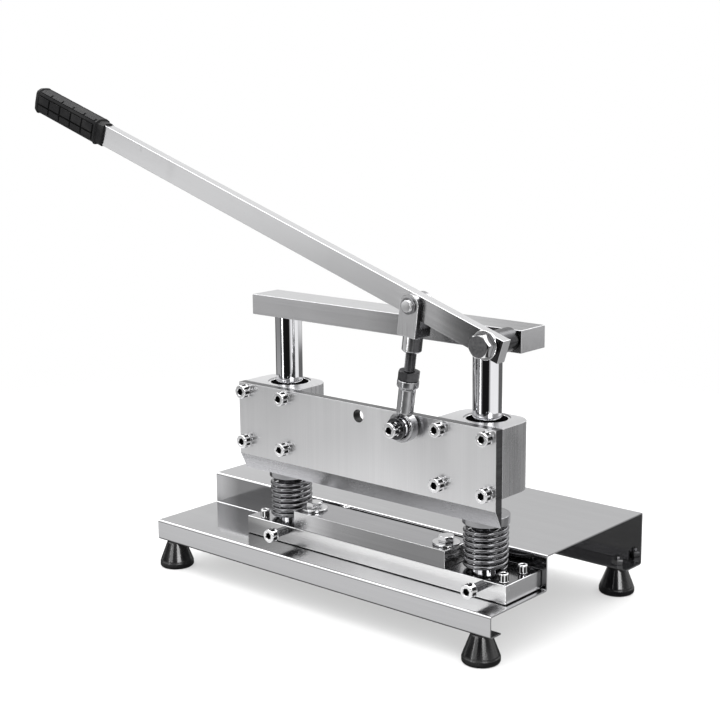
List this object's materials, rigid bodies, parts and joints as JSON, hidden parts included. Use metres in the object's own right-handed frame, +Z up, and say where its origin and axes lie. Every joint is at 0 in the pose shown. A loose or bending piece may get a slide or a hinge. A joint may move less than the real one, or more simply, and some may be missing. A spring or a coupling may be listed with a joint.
{
  "type": "guillotine meat cutter",
  "caption": "Hand-lever guillotine cutter: bevelled blade plate on guide posts over a fixed lower blade, folded steel base with raised rear shelf and rubber feet.",
  "frame": {"origin": "middle of the machine's outline, on the surface that the feet stand on", "axes": "+X from the grip end of the lever to its pivot end, +Y from the operator to the raised shelf, +Z up"},
  "size_m": [0.5846, 0.2506, 0.4674],
  "materials": {
    "stainless_sheet": "polished stainless sheet",
    "brushed_bar": "brushed stainless bar",
    "satin_blade": "satin ground steel",
    "bright_fastener": "bright stainless fasteners",
    "chromed_post": "hard chrome, mirror",
    "spring_steel": "dark drawn spring wire",
    "guide_block": "satin aluminium",
    "bush": "bearing steel with dark seals",
    "black_rubber": "matt black rubber"
  },
  "bodies": {
    "stand": {"base_sheet": "stainless_sheet", "foot_front_left": "black_rubber", "foot_front_right": "black_rubber", "foot_rear_left": "black_rubber", "foot_rear_right": "black_rubber", "foot_nut_front_left": "bright_fastener", "foot_nut_front_right": "bright_fastener", "foot_nut_rear_left": "bright_fastener", "foot_nut_rear_right": "bright_fastener", "base_bar": "brushed_bar", "bar_screw_front_left": "bright_fastener", "bar_screw_front_right": "bright_fastener", "bar_screw_rear_left": "bright_fastener", "bar_screw_rear_right": "bright_fastener", "clamp_screw_left": "bright_fastener", "clamp_screw_right": "bright_fastener", "lower_blade": "brushed_bar", "lower_blade_bolt_left": "bright_fastener", "lower_blade_bolt_right": "bright_fastener", "lower_blade_washer_left": "bright_fastener", "lower_blade_washer_right": "bright_fastener", "lower_blade_stop_screw": "bright_fastener", "guide_post_left": "chromed_post", "guide_post_right": "chromed_post", "spring_left": "spring_steel", "spring_right": "spring_steel", "crossbeam": "brushed_bar", "pivot_bolt": "bright_fastener", "pivot_washer": "bright_fastener", "pivot_spacer": "bright_fastener"},
    "lever": {"lever_bar": "brushed_bar", "grip": "black_rubber"},
    "link": {"fork": "bright_fastener", "fork_pin": "bright_fastener", "fork_clip": "bright_fastener", "link_stud": "bright_fastener", "lock_nut": "bright_fastener", "rod_end": "bright_fastener", "rod_end_ball": "bright_fastener"},
    "blade": {"blade_plate": "satin_blade", "blade_screw_1": "bright_fastener", "blade_screw_2": "bright_fastener", "blade_screw_3": "bright_fastener", "blade_screw_4": "bright_fastener", "blade_screw_5": "bright_fastener", "blade_screw_6": "bright_fastener", "blade_screw_7": "bright_fastener", "blade_screw_8": "bright_fastener", "guide_block_left": "guide_block", "guide_block_right": "guide_block", "linear_bush_left": "bush", "linear_bush_right": "bush", "link_screw": "bright_fastener", "link_washer": "bright_fastener", "link_spacer": "bright_fastener"},
    "caps": {"spring_cap_left": "brushed_bar", "spring_cap_right": "brushed_bar"}
  },
  "joints": [
    {"name": "lever_hinge", "type": "hinge", "parent": "stand", "child": "lever", "pos_m": [0.27499, -0.10575, 0.2708], "axis": [0, -1, 0], "range_deg": [0, 25.3]},
    {"name": "link_hinge", "type": "hinge", "parent": "lever", "child": "link", "pos_m": [0.2006, -0.10575, 0.29526], "axis": [0, -1, 0], "range_deg": [-22.9, 0]},
    {"name": "blade_slide", "type": "slide", "parent": "stand", "child": "blade", "axis": [0, 0, -1], "range_m": [0, 0.0346]},
    {"name": "cap_slide", "type": "slide", "parent": "stand", "child": "caps", "axis": [0, 0, -1], "range_m": [0, 0.011], "deforming": ["spring_left", "spring_right"]}
  ],
  "couplings": [
    {"joint": "link_hinge", "follows": "lever_hinge", "ratio": -0.9017},
    {"joint": "blade_slide", "follows": "lever_hinge", "m_per_rad": 0.07823},
    {"joint": "cap_slide", "follows": "lever_hinge", "m_per_rad": 0.02479}
  ]
}
